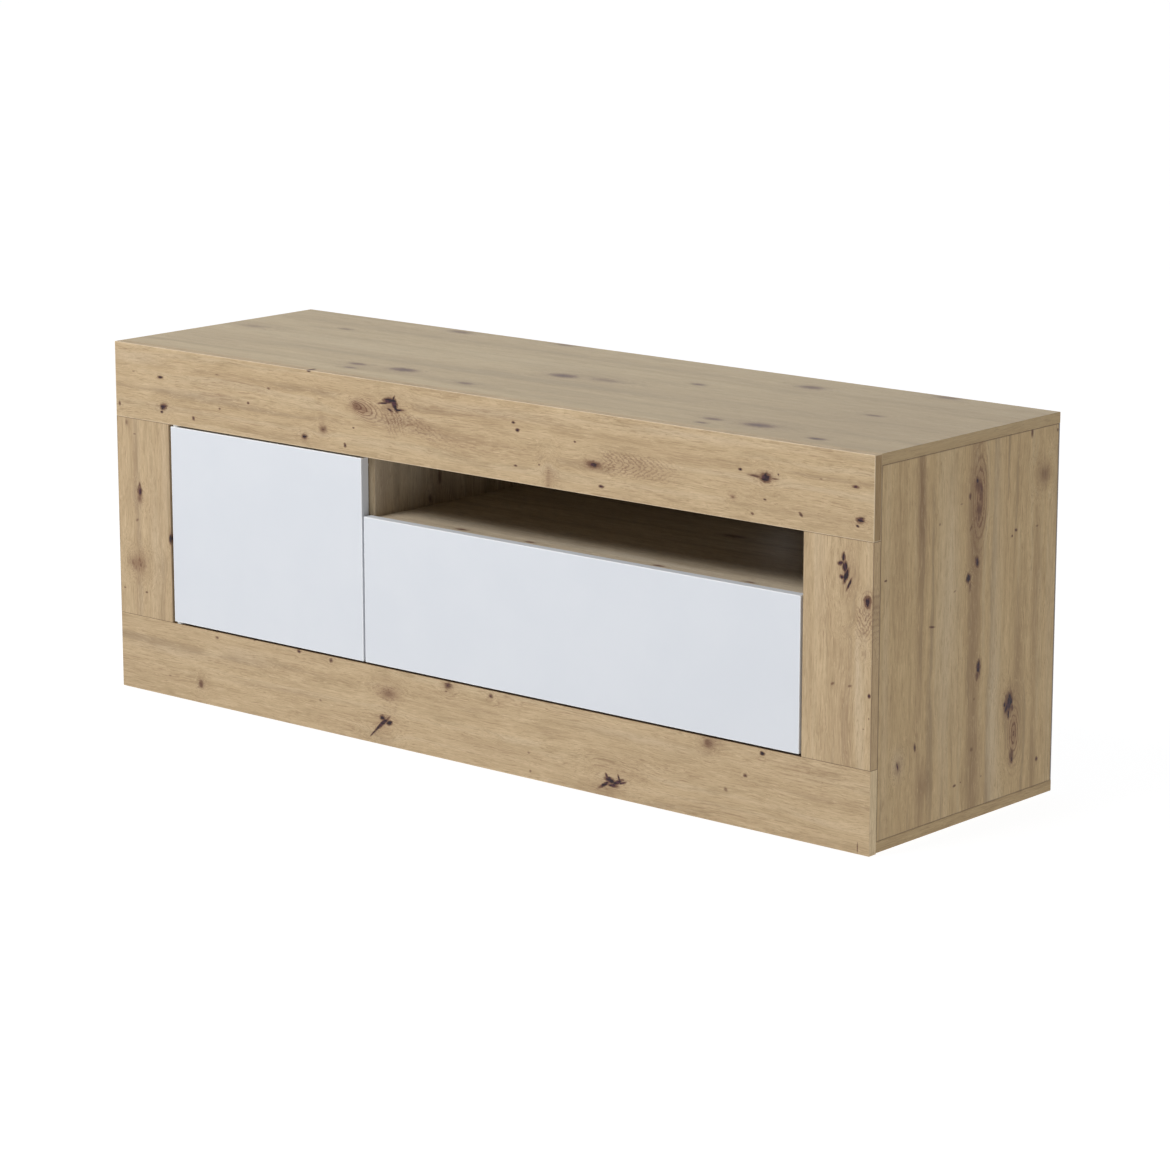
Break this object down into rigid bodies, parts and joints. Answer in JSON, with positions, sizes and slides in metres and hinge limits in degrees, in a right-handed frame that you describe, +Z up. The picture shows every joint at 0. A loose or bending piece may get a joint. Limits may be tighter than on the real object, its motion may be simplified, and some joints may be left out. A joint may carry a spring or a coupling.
{
  "type": "tv stand with doors",
  "caption": "Low oak-faced television stand with a face frame, one white hinged door, one white drop-down flap and an open niche above the flap.",
  "frame": {"origin": "middle of the footprint at floor level", "axes": "+X to the viewer's right along the width, +Y from the front towards the back, +Z up; the front faces -Y"},
  "size_m": [1.5, 0.443, 0.565],
  "materials": {
    "oak_board": "matt rustic oak face, 16 mm board",
    "white_front": "satin white coated board",
    "back_board": "thin coated fibreboard",
    "beech_dowel": "bare fluted dowel",
    "zinc_castings": "die-cast zinc",
    "steel_fittings": "bright zinc-plated steel",
    "nylon": "moulded plastic",
    "soft_bumper": "soft translucent dome"
  },
  "bodies": {
    "carcass": {"top_panel": "oak_board", "bottom_panel": "oak_board", "side_panel_left": "oak_board", "side_panel_right": "oak_board", "back_panel": "back_board", "front_rail_top": "oak_board", "front_rail_bottom": "oak_board", "front_stile_left": "oak_board", "front_stile_right": "oak_board", "cabinet_floor": "oak_board", "divider": "oak_board", "plinth_ribs": "oak_board", "niche_shelf": "oak_board", "cupboard_shelf": "oak_board", "cam_locks": "zinc_castings", "cam_bolts": "steel_fittings", "carcass_dowels": "beech_dowel", "frame_dowels": "beech_dowel", "bottom_screws": "steel_fittings", "divider_screws": "steel_fittings", "frame_brackets": "steel_fittings", "bracket_screws": "steel_fittings", "back_screws": "steel_fittings", "shelf_pins": "steel_fittings", "floor_glides": "nylon", "door_pivot_bushes": "nylon", "flap_hinge_screws": "steel_fittings", "flap_hinge_brackets": "steel_fittings", "stay_shelf_screws": "steel_fittings", "stay_shelf_brackets": "steel_fittings", "stay_shelf_rivets": "steel_fittings", "latch_screws": "steel_fittings", "latch_housings": "nylon"},
    "door": {"door_panel": "white_front", "door_pivot_pins": "steel_fittings", "door_bumpers": "soft_bumper", "door_strike_plate": "steel_fittings"},
    "flap": {"flap_panel": "white_front", "flap_hinge_pins": "steel_fittings", "flap_bumpers": "soft_bumper", "flap_strike_plate": "steel_fittings", "stay_flap_brackets": "steel_fittings", "stay_flap_screws": "steel_fittings", "stay_flap_rivets": "steel_fittings"},
    "stay_upper": {"stay_upper_arms": "steel_fittings"},
    "stay_lower": {"stay_lower_arms": "steel_fittings"},
    "door_latch": {"door_latch_plunger": "nylon"},
    "flap_latch": {"flap_latch_plunger": "nylon"}
  },
  "joints": [
    {"name": "door_hinge", "type": "hinge", "parent": "carcass", "child": "door", "pos_m": [-0.618, -0.2135, 0.2845], "axis": [0, 0, -1], "range_deg": [0, 100]},
    {"name": "flap_hinge", "type": "hinge", "parent": "carcass", "child": "flap", "pos_m": [0, -0.2135, 0.138], "axis": [1, 0, 0], "range_deg": [0, 90]},
    {"name": "stay_upper_pivot", "type": "hinge", "parent": "carcass", "child": "stay_upper", "pos_m": [0, -0.1115, 0.32], "axis": [1, 0, 0], "range_deg": [-68, 0]},
    {"name": "stay_lower_pivot", "type": "hinge", "parent": "flap", "child": "stay_lower", "pos_m": [0, -0.1975, 0.237], "axis": [1, 0, 0], "range_deg": [-32, 0]},
    {"name": "door_latch_travel", "type": "slide", "parent": "carcass", "child": "door_latch", "axis": [0, 1, 0], "range_m": [0, 0.003], "stiffness_N_per_m": 400},
    {"name": "flap_latch_travel", "type": "slide", "parent": "carcass", "child": "flap_latch", "axis": [0, 1, 0], "range_m": [0, 0.003], "stiffness_N_per_m": 400}
  ],
  "couplings": [
    {"joint": "stay_upper_pivot", "follows": "flap_hinge", "ratio": -0.74607},
    {"joint": "stay_lower_pivot", "follows": "flap_hinge", "ratio": -0.35239}
  ]
}
